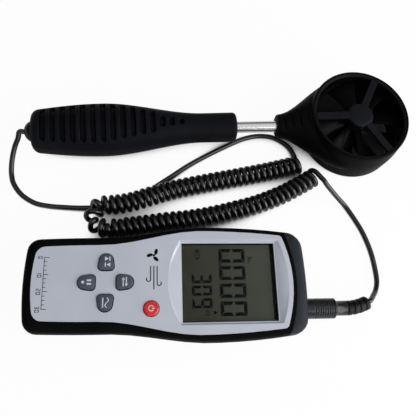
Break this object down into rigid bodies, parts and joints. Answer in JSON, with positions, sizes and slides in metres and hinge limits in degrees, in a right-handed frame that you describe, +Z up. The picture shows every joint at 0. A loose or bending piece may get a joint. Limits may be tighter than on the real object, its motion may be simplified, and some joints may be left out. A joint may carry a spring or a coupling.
{
  "type": "vane anemometer",
  "caption": "Hand-held vane anemometer: a meter with a display and keys, joined by a curly cord to a ribbed probe handle with a ducted vane head.",
  "frame": {"origin": "middle of the flat back of the meter, on the surface that the part lies on", "axes": "+X along the meter towards its top end with the plug, +Y across the meter towards the probe, +Z up out of the meter's face"},
  "size_m": [0.2762, 0.1878, 0.0347],
  "materials": {
    "case_plastic": "satin moulded dark grey",
    "cap_plastic": "satin moulded charcoal",
    "silver_plastic": "fine metallic silver paint",
    "lens": "clear",
    "lcd": "matt reflective display",
    "light_guide": "clear moulded",
    "board": "solder resist",
    "switch": "moulded",
    "key_plastic": "satin dark slate",
    "red_plastic": "satin red",
    "battery_can": "printed can",
    "steel": "plain",
    "chrome": "polished",
    "brass": "turned",
    "handle_plastic": "fine grained black",
    "head_plastic": "satin black",
    "guard_plastic": "satin dark grey",
    "vane_plastic": "smooth black",
    "cord_rubber": "smooth black"
  },
  "bodies": {
    "meter_and_probe": {"rear_cover": "case_plastic", "front_bezel": "case_plastic", "face_panel": "silver_plastic", "end_cap": "cap_plastic", "display_lens": "lens", "lcd_module": "lcd", "light_guide": "light_guide", "main_board": "board", "key_switches": "switch", "probe_jack": "switch", "battery": "battery_can", "battery_snap": "switch", "case_screws": "steel", "handle_upper": "handle_plastic", "handle_lower": "handle_plastic", "handle_screws": "steel", "probe_tube": "chrome", "inner_lead": "cord_rubber", "head_housing": "head_plastic", "front_guard": "guard_plastic", "rear_guard": "guard_plastic", "front_bearing": "brass", "rear_bearing": "brass", "pickup_sensor": "switch", "temperature_bead": "switch", "cord_gland": "cord_rubber", "probe_lead": "cord_rubber", "curly_cord": "cord_rubber", "plug_lead": "cord_rubber", "plug_relief": "cord_rubber", "plug_body": "case_plastic", "plug_pin": "brass"},
    "max_min_key": {"max_min_key": "key_plastic"},
    "average_key": {"average_key": "key_plastic"},
    "unit_key": {"unit_key": "key_plastic"},
    "hold_key": {"hold_key": "key_plastic"},
    "power_key": {"power_key": "red_plastic"},
    "battery_door": {"battery_door": "case_plastic"},
    "impeller": {"impeller": "vane_plastic", "impeller_axle": "steel"}
  },
  "joints": [
    {"name": "impeller_spin", "type": "hinge", "parent": "meter_and_probe", "child": "impeller", "pos_m": [0.1352, 0.1174, 0.0155], "axis": [0, 0, 1], "continuous": true},
    {"name": "max_min_key_press", "type": "slide", "parent": "meter_and_probe", "child": "max_min_key", "axis": [0, 0, -1], "range_m": [0, 0.0008], "stiffness_N_per_m": 900},
    {"name": "average_key_press", "type": "slide", "parent": "meter_and_probe", "child": "average_key", "axis": [0, 0, -1], "range_m": [0, 0.0008], "stiffness_N_per_m": 900},
    {"name": "unit_key_press", "type": "slide", "parent": "meter_and_probe", "child": "unit_key", "axis": [0, 0, -1], "range_m": [0, 0.0008], "stiffness_N_per_m": 900},
    {"name": "hold_key_press", "type": "slide", "parent": "meter_and_probe", "child": "hold_key", "axis": [0, 0, -1], "range_m": [0, 0.0008], "stiffness_N_per_m": 900},
    {"name": "power_key_press", "type": "slide", "parent": "meter_and_probe", "child": "power_key", "axis": [0, 0, -1], "range_m": [0, 0.0008], "stiffness_N_per_m": 900},
    {"name": "battery_door_slide", "type": "slide", "parent": "meter_and_probe", "child": "battery_door", "axis": [-1, 0, 0], "range_m": [0, 0.064]}
  ]
}
